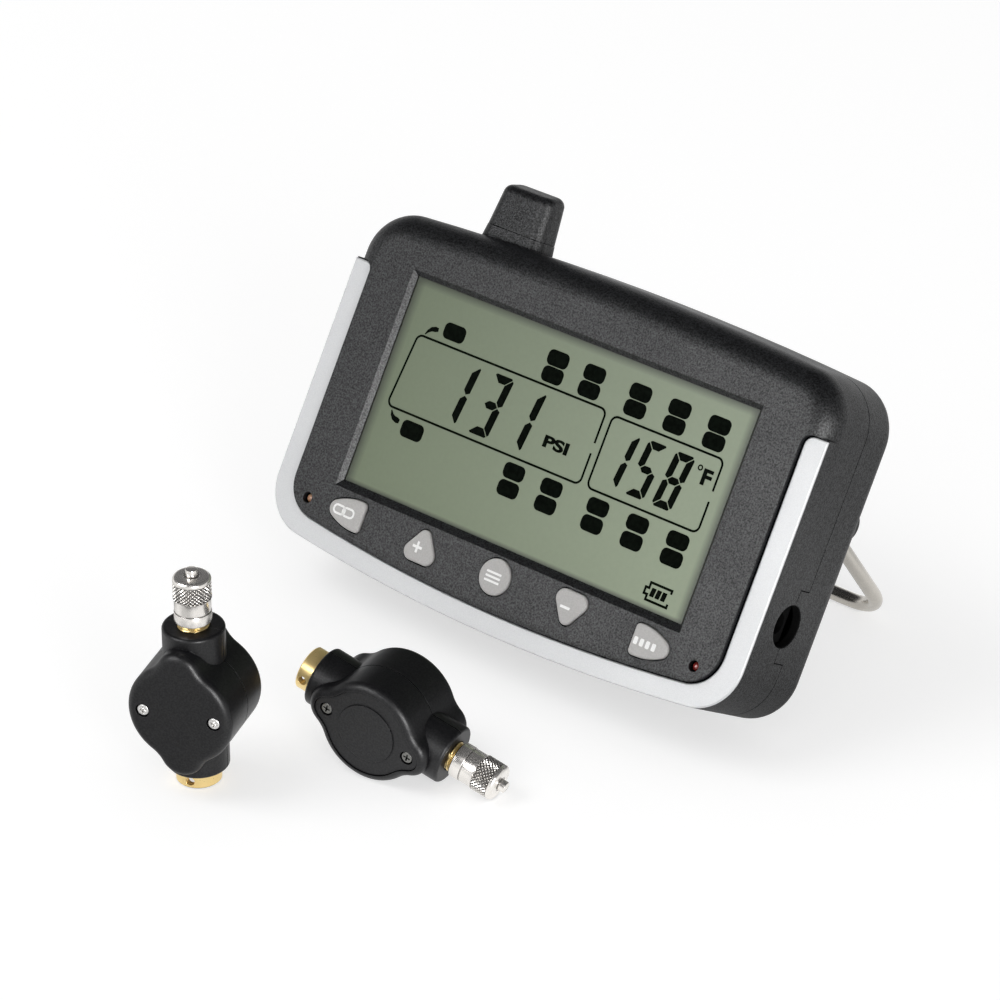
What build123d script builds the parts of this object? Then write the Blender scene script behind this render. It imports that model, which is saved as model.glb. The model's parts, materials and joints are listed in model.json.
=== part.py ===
from build123d import *
import math
import os

# Tyre pressure monitor: a table-top display on a wire stand, and two flow-through valve sensors.
# Millimetres, +Z up. The origin is on the floor, in the middle of the whole set's footprint. The
# display is centred across X, faces -Y and leans back on its rear bottom edge and its stand.
# FACE is the plane of the display's front panel, centred on the window: its x runs to the right,
# its y runs up the panel, and its z runs out of the front, so depths behind it are negative.

os.makedirs("parts", exist_ok=True)

# ---------------------------------------------------------------- display: driving dimensions
REST_Y = 24.056             # where the display's rear bottom edge rests on the floor
LEAN = 32.1                 # lean of the front panel from the vertical, degrees
DEPTH = 31.0                # front panel to flat back
SPLIT = 17.8                # front panel to the parting line of the two shells
HALF_W = 74.2               # shell half width
SHELL_BOTTOM = -48.1        # lowest point of the bottom bow
SHELL_TOP = 43.75           # highest point of the top bow
BOTTOM_SIDE = -42.9         # where the bottom bow meets the sides
TOP_SIDE = 40.8             # where the top bow meets the sides
CORNER_R = 13.0
ROLL_R = 7.0                # rounding from the front panel to the top and sides
BACK_R = 4.5                # rounding of the back edge
WALL = 2.2
GAP = 0.1                   # general assembly gap
SHADOW_GAP = 0.25           # visible line where two shells meet

WINDOW_W = 110.0            # window at the panel's surface
WINDOW_H = 57.6
VIEW_W = 107.6              # window at the foot of its bevel
VIEW_LOW = -26.9
VIEW_HIGH = 27.5
BEVEL = 1.2
LIP = 1.5                   # thickness of the wall around the display glass
GLASS_W = 112.0             # display glass, behind the lip
GLASS_LOW = -28.4
GLASS_HIGH = 30.4
GLASS_FRONT = LIP + 0.35
GLASS_T = 2.2

PANEL_HALF_W = 67.8         # raised front panel inside the trim
PANEL_BOTTOM = -42.7
PANEL_BOW = 4.8             # rise of the panel's bottom edge from the middle to the sides
PANEL_CORNER_R = 9.0
POCKET_HALF_W = 66.0        # hollow behind the front panel
POCKET_BOTTOM = -41.25
POCKET_BOW = 3.6
POCKET_R = 5.7
TRIM_GAP = 0.35
TRIM_FRONT = 1.3            # the trim's face, below the panel
TRIM_SEAT = 2.0
TRIM_TOP = 26.2             # height of the trim's two ends
TRIM_END_R = 2.4
FRONT_WALL = 2.6

KEY_ROW = -34.1             # height of the row of keys on the panel
KEY_PROUD = 0.7
KEY_GAP = 0.3
KEY_TRAVEL = 0.8
LED_X = 61.8
LED_Y = -34.6
LED_HOLE_R = 1.4
LED_DEPTH = 0.9             # tops of the lights, behind the panel

BOARD_FRONT = 8.1           # depth of the main board's front
BOARD_T = 1.6

JACK_Y = -18.6              # power jack, in the right-hand side
JACK_DEPTH = 13.4
JACK_HOLE_R = 5.5
TAB_LOW = -27.7             # the rear cover's tab around the jack
TAB_HIGH = -9.5
TAB_FRONT = 13.8

ANTENNA_X = -36.8
ANTENNA_DEPTH = 12.9
ANTENNA_FOOT = 45.9         # height of the antenna's seam
ANTENNA_TOP = 57.4

WIRE_R = 1.9                # wire stand
STAND_HALF_W = 60.2
STAND_PIVOT_Y = 8.0
STAND_PIVOT_DEPTH = DEPTH + WIRE_R + 0.3
STAND_REACH = 63.7          # foot of the stand, behind the rear bottom edge

BOSS_X = 66.0               # screw bosses of the display's shells
BOSS_TOP = 31.0
BOSS_BOTTOM = -30.5
BOSS_R = 3.3

# The display rests on its rounded rear bottom edge, which puts the window's centre here.
lean = math.radians(LEAN)
edge_y = SHELL_BOTTOM + BACK_R
edge_n = BACK_R - DEPTH
WINDOW_Z = BACK_R - (edge_y * math.cos(lean) + edge_n * math.sin(lean))
WINDOW_Y = -(edge_y * math.sin(lean) - edge_n * math.cos(lean))
FACE = Plane(
    origin=(0, REST_Y + WINDOW_Y, WINDOW_Z),
    x_dir=(1, 0, 0),
    z_dir=(0, -math.cos(lean), math.sin(lean)),
)
OUT = Axis(FACE.origin, FACE.z_dir)     # straight out of the front panel
UP = Axis(FACE.origin, FACE.y_dir)      # up along the front panel


def at(x, y, n):
    """The point x across, y up and n out of the front panel."""
    return FACE.from_local_coords(Vector(x, y, n))


def behind(depth):
    """The plane at this depth behind the front panel."""
    return FACE.offset(-depth)


def across(x, y, n):
    """A plane that looks to the right of the display, with its own x up the panel."""
    return Plane(origin=at(x, y, n), x_dir=FACE.y_dir, z_dir=FACE.x_dir)


def upward(x, y, n):
    """A plane that looks up along the panel, with its own x to the right."""
    return Plane(origin=at(x, y, n), x_dir=FACE.x_dir, z_dir=FACE.y_dir)


def keep(piece, name):
    """Names a finished piece and writes it."""
    piece.part.label = name
    export_step(piece.part, f"parts/{name}.step")


# ---------------------------------------------------------------- display: shared outlines
def bowed_outline(half_w, bottom, bottom_side, top, top_side, bottom_r, top_r):
    """A plate with straight sides, bowed at the bottom and the top, with rounded corners."""
    with BuildSketch() as outline:
        with BuildLine():
            ThreePointArc((-half_w, bottom_side), (0, bottom), (half_w, bottom_side))
            Line((half_w, bottom_side), (half_w, top_side))
            ThreePointArc((half_w, top_side), (0, top), (-half_w, top_side))
            Line((-half_w, top_side), (-half_w, bottom_side))
        make_face()
        fillet(outline.vertices().group_by(Axis.Y)[0], bottom_r)
        fillet(outline.vertices().group_by(Axis.Y)[-1], top_r)
    return outline.sketch


def trim_band(inner_half_w, inner_bottom, inner_r, top, end_r):
    """The U between the shell's outline and an inner outline, open at the top."""
    inner = bowed_outline(inner_half_w, inner_bottom, inner_bottom + PANEL_BOW,
                          SHELL_TOP + 9, TOP_SIDE + 9, inner_r, 2)
    with BuildSketch() as band:
        add(SHELL)
        add(inner, mode=Mode.SUBTRACT)
        with Locations((0, top)):
            Rectangle(4 * HALF_W, 4 * HALF_W, align=(Align.CENTER, Align.MIN), mode=Mode.SUBTRACT)
        ends = band.vertices().group_by(Axis.Y)[-1].sort_by(Axis.X)
        fillet(ends[1:3], end_r)
    return band.sketch


SHELL = bowed_outline(HALF_W, SHELL_BOTTOM, BOTTOM_SIDE, SHELL_TOP, TOP_SIDE, CORNER_R, CORNER_R)
TRIM = trim_band(PANEL_HALF_W + TRIM_GAP, PANEL_BOTTOM - TRIM_GAP, PANEL_CORNER_R + TRIM_GAP,
                 TRIM_TOP, TRIM_END_R)
CHANNEL = trim_band(PANEL_HALF_W, PANEL_BOTTOM, PANEL_CORNER_R, TRIM_TOP + TRIM_GAP,
                    TRIM_END_R + TRIM_GAP)
PANEL_POCKET = bowed_outline(POCKET_HALF_W, POCKET_BOTTOM, POCKET_BOTTOM + POCKET_BOW,
                             SHELL_TOP - 8, TOP_SIDE - 8, POCKET_R, POCKET_R)
BOSSES = [
    (-BOSS_X, BOSS_BOTTOM),
    (BOSS_X, BOSS_BOTTOM),
    (-BOSS_X, BOSS_TOP),
    (BOSS_X, BOSS_TOP),
]


# ---------------------------------------------------------------- display: key shapes
def bullet_key(nose, grow=0):
    """Two long arcs, a square end and a round nose. nose is -1 for a key that points left."""
    with BuildSketch() as key:
        with Locations((0, 12.5)):
            Circle(16.5 + grow)
        with Locations((0, -12.5)):
            Circle(16.5 + grow, mode=Mode.INTERSECT)
        with Locations((-nose * (1.8 + grow), 0)):
            Rectangle(40, 20, align=(Align.MAX if nose > 0 else Align.MIN, Align.CENTER),
                      mode=Mode.SUBTRACT)
        fillet(key.vertices().filter_by(lambda v: abs(v.X) > 6), 2.3 + grow)
        fillet(key.vertices().filter_by(lambda v: abs(v.X + nose * (1.8 + grow)) < 0.01), 1.2 + grow)
    return key.sketch


def delta_key(way, grow=0):
    """A rounded triangle. way is 1 for a key that points up, -1 for one that points down."""
    with BuildSketch() as key:
        with Locations((0, 2.3 * way)):
            Circle(1.9 + grow)
        with Locations((2.3, -1.9 * way), (-2.3, -1.9 * way)):
            Circle(2.4 + grow)
        make_hull()
    return key.sketch


def round_key(way, grow=0):
    """A plain disc."""
    with BuildSketch() as key:
        Circle(4.6 + grow)
    return key.sketch


# name: shape, the way it points, and its centre on the panel
KEYS = {
    "link_key": (bullet_key, -1, -45.0, KEY_ROW),
    "plus_key": (delta_key, 1, -23.6, KEY_ROW - 0.3),
    "set_key": (round_key, 1, 0.0, KEY_ROW),
    "minus_key": (delta_key, -1, 23.4, KEY_ROW + 0.2),
    "code_key": (bullet_key, 1, 45.0, KEY_ROW),
}


def plate(width, low, high):
    """A centred rectangle between two heights on the panel, in the sketch that is open."""
    with Locations((0, (low + high) / 2)):
        Rectangle(width, high - low)


def key_plane(x, y, depth):
    """A plane over a key's centre, at this depth."""
    return Plane(origin=at(x, y, -depth), x_dir=FACE.x_dir, z_dir=FACE.z_dir)


# ---------------------------------------------------------------- front bezel
with BuildPart() as front_bezel:
    with BuildSketch(behind(SPLIT)):
        add(SHELL)
    extrude(amount=SPLIT)
    fillet(front_bezel.faces().sort_by(OUT)[-1].edges(), ROLL_R)
    # square shoulder under the trim, then the trim's channel
    with BuildSketch(behind(SPLIT)):
        add(CHANNEL)
    extrude(amount=SPLIT - TRIM_SEAT)
    with BuildSketch(behind(TRIM_SEAT)):
        add(CHANNEL)
    extrude(amount=TRIM_SEAT + 1, mode=Mode.SUBTRACT)
    # foot of the antenna, on the top
    with BuildSketch(upward(ANTENNA_X, SHELL_TOP - WALL, -ANTENNA_DEPTH)):
        RectangleRounded(19.6, 9.6, 3.4)
    with BuildSketch(upward(ANTENNA_X, ANTENNA_FOOT, -ANTENNA_DEPTH)):
        RectangleRounded(18.3, 9.4, 3.4)
    loft()
    # hollow: a wide cavity, and a shallower one up behind the front panel
    with BuildSketch(behind(SPLIT)):
        add(SHELL)
        offset(amount=-WALL, mode=Mode.REPLACE)
    extrude(amount=SPLIT - TRIM_SEAT - FRONT_WALL, mode=Mode.SUBTRACT)
    with BuildSketch(behind(SPLIT)):
        add(PANEL_POCKET)
    extrude(amount=SPLIT - FRONT_WALL, mode=Mode.SUBTRACT)
    with BuildSketch(behind(FRONT_WALL + 1)):
        plate(GLASS_W + 2.0, GLASS_LOW - 0.2, GLASS_HIGH + 0.2)
    extrude(amount=FRONT_WALL + 1 - LIP, mode=Mode.SUBTRACT)
    # window with its bevel
    with BuildSketch(FACE):
        Rectangle(WINDOW_W, WINDOW_H)
    with BuildSketch(behind(BEVEL)):
        plate(VIEW_W, VIEW_LOW, VIEW_HIGH)
    loft(mode=Mode.SUBTRACT)
    with BuildSketch(behind(2 * FRONT_WALL)):
        plate(VIEW_W, VIEW_LOW, VIEW_HIGH)
    extrude(amount=2 * FRONT_WALL, mode=Mode.SUBTRACT)
    # key and light holes
    for shape, way, x, y in KEYS.values():
        with BuildSketch(key_plane(x, y, 2 * FRONT_WALL)):
            add(shape(way, KEY_GAP))
        extrude(amount=3 * FRONT_WALL, mode=Mode.SUBTRACT)
    with BuildSketch(behind(2 * FRONT_WALL)):
        with Locations((-LED_X, LED_Y), (LED_X, LED_Y)):
            Circle(LED_HOLE_R)
    extrude(amount=3 * FRONT_WALL, mode=Mode.SUBTRACT)
    # screw bosses, with blind pilot holes
    with BuildSketch(behind(SPLIT)):
        with Locations(*BOSSES):
            Circle(BOSS_R)
    extrude(amount=SPLIT - TRIM_SEAT - 1.5)
    with BuildSketch(behind(SPLIT)):
        with Locations(*BOSSES):
            Circle(1.33)
    extrude(amount=SPLIT - 9, mode=Mode.SUBTRACT)
    # room for the rear cover's tab, the plug hole, and the antenna's lead
    with BuildSketch(across(HALF_W - WALL - 2, (TAB_LOW + TAB_HIGH) / 2, -SPLIT)):
        Rectangle(TAB_HIGH - TAB_LOW + 2 * SHADOW_GAP, 2 * (SPLIT - TAB_FRONT + SHADOW_GAP))
    extrude(amount=2 * WALL + 2, mode=Mode.SUBTRACT)
    with BuildSketch(across(HALF_W - 2 * WALL, JACK_Y, -JACK_DEPTH)):
        Circle(JACK_HOLE_R)
    extrude(amount=3 * WALL, mode=Mode.SUBTRACT)
    with BuildSketch(upward(ANTENNA_X, SHELL_TOP - 3 * WALL, -ANTENNA_DEPTH)):
        Circle(1.5)
    extrude(amount=4 * WALL, mode=Mode.SUBTRACT)
    # shadow line round the edge that meets the rear cover
    with BuildSketch(behind(SPLIT)):
        add(SHELL)
        offset(amount=-0.7, mode=Mode.SUBTRACT)
    extrude(amount=SHADOW_GAP, mode=Mode.SUBTRACT)
keep(front_bezel, "front_bezel")

# ---------------------------------------------------------------- silver trim
with BuildPart() as silver_trim:
    with BuildSketch(behind(TRIM_SEAT)):
        add(TRIM)
    extrude(amount=TRIM_SEAT - TRIM_FRONT)
    chamfer(silver_trim.faces().sort_by(OUT)[-1].edges(), 0.25)
keep(silver_trim, "silver_trim")

# ---------------------------------------------------------------- rear cover
with BuildPart() as rear_cover:
    with BuildSketch(behind(DEPTH)):
        add(SHELL)
    extrude(amount=DEPTH - SPLIT)
    fillet(rear_cover.faces().sort_by(OUT)[0].edges(), BACK_R)
    with BuildSketch(behind(DEPTH - WALL)):
        add(SHELL)
        offset(amount=-WALL, mode=Mode.REPLACE)
    extrude(amount=DEPTH, mode=Mode.SUBTRACT)
    # posts that carry the screws
    with BuildSketch(behind(DEPTH - WALL)):
        with Locations(*BOSSES):
            Circle(BOSS_R)
    extrude(amount=DEPTH - WALL - SPLIT - GAP)
    with BuildSketch(behind(DEPTH)):
        with Locations(*BOSSES):
            Circle(1.6)
    extrude(amount=DEPTH, mode=Mode.SUBTRACT)
    with BuildSketch(behind(DEPTH)):
        with Locations(*BOSSES):
            Circle(2.5)
    extrude(amount=3.0, mode=Mode.SUBTRACT)
    # tab around the power jack
    with BuildSketch(across(HALF_W - WALL, (TAB_LOW + TAB_HIGH) / 2, -(SPLIT + TAB_FRONT) / 2 - 0.5)):
        Rectangle(TAB_HIGH - TAB_LOW, SPLIT - TAB_FRONT + 1)
    extrude(amount=WALL)
    with BuildSketch(across(HALF_W - 2 * WALL, JACK_Y, -JACK_DEPTH)):
        Circle(JACK_HOLE_R)
    extrude(amount=3 * WALL, mode=Mode.SUBTRACT)
    # lugs that hold the ends of the wire stand
    for side in (-1, 1):
        lug_x = side * (STAND_HALF_W + 6.6)
        with BuildSketch(across(lug_x - 2.8, STAND_PIVOT_Y, -STAND_PIVOT_DEPTH)):
            Circle(WIRE_R + 1.7)
            with Locations((0, STAND_PIVOT_DEPTH - DEPTH)):
                Rectangle(2 * WIRE_R + 3.4, STAND_PIVOT_DEPTH - DEPTH + 0.4,
                          align=(Align.CENTER, Align.MAX))
        extrude(amount=5.6)
        with BuildSketch(across(lug_x - side * 2.8, STAND_PIVOT_Y, -STAND_PIVOT_DEPTH)):
            Circle(WIRE_R + 0.06)
        extrude(amount=side * 4.2, mode=Mode.SUBTRACT)
    # sound slots over the buzzer
    with BuildSketch(behind(DEPTH)):
        with GridLocations(0, 2.6, 1, 3):
            with Locations((38, 20)):
                SlotOverall(11, 1.3)
    extrude(amount=WALL, mode=Mode.SUBTRACT)
keep(rear_cover, "rear_cover")

# ---------------------------------------------------------------- shell screws
with BuildPart() as rear_screws:
    with BuildSketch(behind(DEPTH - 1.2)):
        with Locations(*BOSSES):
            Circle(2.3)
    extrude(amount=1.8)
    with BuildSketch(behind(DEPTH - 3.0)):
        with Locations(*BOSSES):
            Circle(1.3)
    extrude(amount=17.0)
    for angle in (0, 90):
        with BuildSketch(behind(DEPTH - 1.2)):
            with Locations(*BOSSES):
                Rectangle(2.6, 0.6, rotation=angle)
        extrude(amount=1.0, mode=Mode.SUBTRACT)
keep(rear_screws, "rear_screws")

# ---------------------------------------------------------------- wire stand
pivot = at(0, STAND_PIVOT_Y, -STAND_PIVOT_DEPTH)
reach = REST_Y + STAND_REACH - pivot.Y
drop = pivot.Z - WIRE_R
STAND_LENGTH = math.hypot(reach, drop)
STAND = Plane(origin=pivot, x_dir=(1, 0, 0), z_dir=(0, drop, reach))
with BuildPart() as wire_stand:
    with BuildLine(STAND) as stand_path:
        Polyline(
            (-STAND_HALF_W - 7.6, 0),
            (-STAND_HALF_W, 0),
            (-STAND_HALF_W, STAND_LENGTH),
            (STAND_HALF_W, STAND_LENGTH),
            (STAND_HALF_W, 0),
            (STAND_HALF_W + 7.6, 0),
        )
        ends = stand_path.vertices().filter_by(lambda v: abs(v.X) < STAND_HALF_W + 1)
        fillet(ends.filter_by(lambda v: v.Z > pivot.Z - 1), 3.6)
        fillet(ends.filter_by(lambda v: v.Z < pivot.Z - 1), 11.5)
    with BuildSketch(Plane(origin=stand_path.line @ 0, z_dir=(1, 0, 0))):
        Circle(WIRE_R)
    sweep()
keep(wire_stand, "wire_stand")

# ---------------------------------------------------------------- display glass stack
with BuildPart() as front_polarizer:
    with BuildSketch(behind(GLASS_FRONT)):
        plate(GLASS_W - 1.4, GLASS_LOW + 0.4, GLASS_HIGH - 0.4)
    extrude(amount=0.3)
keep(front_polarizer, "front_polarizer")

with BuildPart() as lcd_glass:
    with BuildSketch(behind(GLASS_FRONT + GLASS_T)):
        plate(GLASS_W, GLASS_LOW, GLASS_HIGH)
    extrude(amount=GLASS_T)
keep(lcd_glass, "lcd_glass")

BACKLIGHT_T = 3.2
with BuildPart() as backlight_panel:
    with BuildSketch(behind(GLASS_FRONT + GLASS_T + BACKLIGHT_T)):
        plate(GLASS_W - 1.4, GLASS_LOW + 2.6, GLASS_HIGH - 2.6)
    extrude(amount=BACKLIGHT_T)
keep(backlight_panel, "backlight_panel")

STRIP_W = 1.8
with BuildPart() as contact_strips:
    with BuildSketch(behind(BOARD_FRONT)):
        plate(96, GLASS_LOW + 0.3, GLASS_LOW + 0.3 + STRIP_W)
        plate(96, GLASS_HIGH - 0.3 - STRIP_W, GLASS_HIGH - 0.3)
    extrude(amount=BOARD_FRONT - GLASS_FRONT - GLASS_T)
keep(contact_strips, "contact_strips")

with BuildPart() as lcd_holder:
    with BuildSketch(behind(BOARD_FRONT)):
        plate(GLASS_W + 5, GLASS_LOW - 0.9, GLASS_HIGH + 1.5)
        with Locations((0, (GLASS_LOW + GLASS_HIGH) / 2)):
            Rectangle(GLASS_W + 0.2, GLASS_HIGH - GLASS_LOW + 0.2, mode=Mode.SUBTRACT)
    extrude(amount=BOARD_FRONT - FRONT_WALL - 1 - GAP)
keep(lcd_holder, "lcd_holder")

# ---------------------------------------------------------------- main board and its parts
with BuildPart() as main_board:
    with BuildSketch(behind(BOARD_FRONT + BOARD_T)):
        with Locations((0, -1.5)):
            RectangleRounded(131, 76, 5)
        with Locations(*BOSSES):
            Circle(BOSS_R + 1.0, mode=Mode.SUBTRACT)
    extrude(amount=BOARD_T)
keep(main_board, "main_board")

with BuildPart() as radio_module:
    with BuildSketch(behind(BOARD_FRONT + BOARD_T + 2.6)):
        with Locations((-34, 26)):
            RectangleRounded(20, 15, 0.8)
    extrude(amount=2.6)
keep(radio_module, "radio_module")

with BuildPart() as buzzer:
    with BuildSketch(behind(BOARD_FRONT + BOARD_T + 6.5)):
        with Locations((38, 20)):
            Circle(6.0)
            Circle(1.0, mode=Mode.SUBTRACT)
    extrude(amount=6.5)
keep(buzzer, "buzzer")

with BuildPart() as battery_pack:
    with BuildSketch(behind(DEPTH - WALL - 0.1)):
        with Locations((-6, -6)):
            RectangleRounded(66, 42, 4)
    extrude(amount=9.0)
    fillet(battery_pack.faces().sort_by(OUT)[-1].edges(), 1.5)
keep(battery_pack, "battery_pack")

with BuildPart() as power_jack:
    with BuildSketch(across(HALF_W - WALL - 14.5, JACK_Y, -JACK_DEPTH)):
        Rectangle(9.6, 7.2)
    extrude(amount=13.8)
    with BuildSketch(across(HALF_W - WALL - 0.7, JACK_Y, -JACK_DEPTH)):
        Circle(2.8)
    extrude(amount=-9.5, mode=Mode.SUBTRACT)
    with BuildSketch(across(HALF_W - WALL - 12, JACK_Y, -JACK_DEPTH)):
        Circle(1.0)
    extrude(amount=10.0)
keep(power_jack, "power_jack")

# ---------------------------------------------------------------- status lights
for side, name in ((-1, "amber_led"), (1, "red_led")):
    with BuildPart() as led:
        with BuildSketch(behind(BOARD_FRONT)):
            with Locations((side * LED_X, LED_Y)):
                Circle(1.7)
        extrude(amount=1.0)
        with BuildSketch(behind(BOARD_FRONT)):
            with Locations((side * LED_X, LED_Y)):
                Circle(1.25)
        extrude(amount=BOARD_FRONT - LED_DEPTH)
        fillet(led.faces().sort_by(OUT)[-1].edges(), 1.1)
    keep(led, name)

# ---------------------------------------------------------------- keys and their switches
for name, (shape, way, x, y) in KEYS.items():
    with BuildPart() as key:
        with BuildSketch(key_plane(x, y, FRONT_WALL + 0.1)):
            add(shape(way))
        extrude(amount=FRONT_WALL + 0.1 + KEY_PROUD)
        fillet(key.faces().sort_by(OUT)[-1].edges(), 0.55)
        # a flange behind the panel keeps the key in, and stops short of the display's holder
        with BuildSketch(key_plane(x, y, FRONT_WALL + 1.0)):
            add(shape(way, 0.8))
            with Locations((0, GLASS_LOW - 1.05 - y)):
                Rectangle(30, 10, align=(Align.CENTER, Align.MIN), mode=Mode.SUBTRACT)
        extrude(amount=0.9)
    keep(key, name)

with BuildPart() as key_switches:
    for shape, way, x, y in KEYS.values():
        with BuildSketch(key_plane(x, y, BOARD_FRONT)):
            Rectangle(6, 6)
        extrude(amount=2.4)
        with BuildSketch(key_plane(x, y, BOARD_FRONT - 2.4)):
            Circle(1.6)
        extrude(amount=BOARD_FRONT - 2.4 - FRONT_WALL - 1.0 - KEY_TRAVEL - 0.1)
keep(key_switches, "key_switches")

# ---------------------------------------------------------------- antenna
with BuildPart() as antenna_cover:
    with BuildSketch(upward(ANTENNA_X, ANTENNA_FOOT + 0.05, -ANTENNA_DEPTH)):
        RectangleRounded(18.0, 9.4, 3.3)
    with BuildSketch(upward(ANTENNA_X, ANTENNA_TOP + 2, -ANTENNA_DEPTH)):
        RectangleRounded(15.5, 8.2, 3.2)
    loft()
    slope = Plane(origin=at(ANTENNA_X, ANTENNA_TOP, -ANTENNA_DEPTH), x_dir=FACE.x_dir,
                  z_dir=FACE.y_dir + FACE.z_dir * 0.2)
    split(bisect_by=slope, keep=Keep.BOTTOM)
    fillet(antenna_cover.faces().sort_by(UP)[-1].edges(), 2.3)
    with BuildSketch(upward(ANTENNA_X, ANTENNA_FOOT + 0.05, -ANTENNA_DEPTH)):
        RectangleRounded(8.6, 5.6, 1.6)
    extrude(amount=8.5, mode=Mode.SUBTRACT)
keep(antenna_cover, "antenna_cover")

with BuildPart() as antenna_coil:
    coil_foot = at(ANTENNA_X, ANTENNA_FOOT + 1.2, -ANTENNA_DEPTH)
    with BuildLine() as coil_path:
        Helix(pitch=1.3, height=6.2, radius=1.9, center=coil_foot, direction=FACE.y_dir)
    with BuildSketch(Plane(origin=coil_path.line @ 0, z_dir=coil_path.line % 0)):
        Circle(0.35)
    sweep(is_frenet=True)
keep(antenna_coil, "antenna_coil")

# ---------------------------------------------------------------- sensors: driving dimensions
BODY_HALF_W = 13.2          # the body's round middle
BODY_HALF_L = 16.7          # half height of the rounded lozenge
END_R = 5.5                 # its narrow ends
WAIST_R = 8.0               # hollow curve between the middle and the ends
BODY_FRONT = 11.0           # parting plane to the screw face
BODY_BACK = 9.8             # parting plane to the battery cover's side
NECK_R = 7.5                # round necks around the valve stem
NECK_HALF_L = 19.25
SHAFT_R = 2.6               # brass valve stem
THREAD_R = 3.85             # tyre valve thread, 7.7 mm over the crests
CAP_R = 4.6
CAP_FOOT = 20.6
CAP_BORE_TOP = 31.2
CAP_TOP = 32.6
CAP_ROUND = 1.0
NUB_TOP = 34.4
COLLAR_R = 5.5
COLLAR_FOOT = -23.2
COLLAR_TOP = -19.35
SHELL_SCREW_X = 9.0
COVER_SCREW_Z = 11.6
RECESS = 1.9                # rim around the battery cover
COVER_FLOOR = 7.8           # parting plane to the battery cover's seat
CELL_R = 8.0


def lozenge(inset):
    """The body's outline: a round middle and two narrow round ends, with hollow waists."""
    with BuildSketch() as outline:
        Circle(BODY_HALF_W - inset)
        with Locations((0, BODY_HALF_L - END_R), (0, END_R - BODY_HALF_L)):
            Circle(END_R - inset)
        waists = outline.vertices().filter_by(lambda v: abs(v.Y) > END_R)
        fillet(waists, WAIST_R + inset)
    return outline.sketch


def turned(name, plane, *rings):
    """A turned piece on the plane's z axis. rings are (inner r, outer r, low z, high z)."""
    with BuildPart() as piece:
        for inner, outer, low, high in rings:
            with BuildSketch(plane.offset(low)):
                Circle(outer)
                if inner:
                    Circle(inner, mode=Mode.SUBTRACT)
            extrude(amount=high - low)
    return piece


def cross_screws(name, plane, spots, head_r, head_t, shaft_r, shaft_t):
    """Phillips screws whose heads' tops lie on the plane, driven in against its z."""
    with BuildPart() as screws:
        with BuildSketch(plane):
            with Locations(*spots):
                Circle(head_r)
        extrude(amount=-head_t)
        fillet(screws.faces().sort_by(Axis(plane.origin, plane.z_dir))[-len(spots):].edges(), 0.3)
        with BuildSketch(plane.offset(-head_t)):
            with Locations(*spots):
                Circle(shaft_r)
        extrude(amount=-shaft_t)
        for angle in (0, 90):
            with BuildSketch(plane):
                with Locations(*spots):
                    Rectangle(head_r * 1.25, head_r * 0.28, rotation=angle)
            extrude(amount=-head_t * 0.6, mode=Mode.SUBTRACT)
    keep(screws, name)


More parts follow.
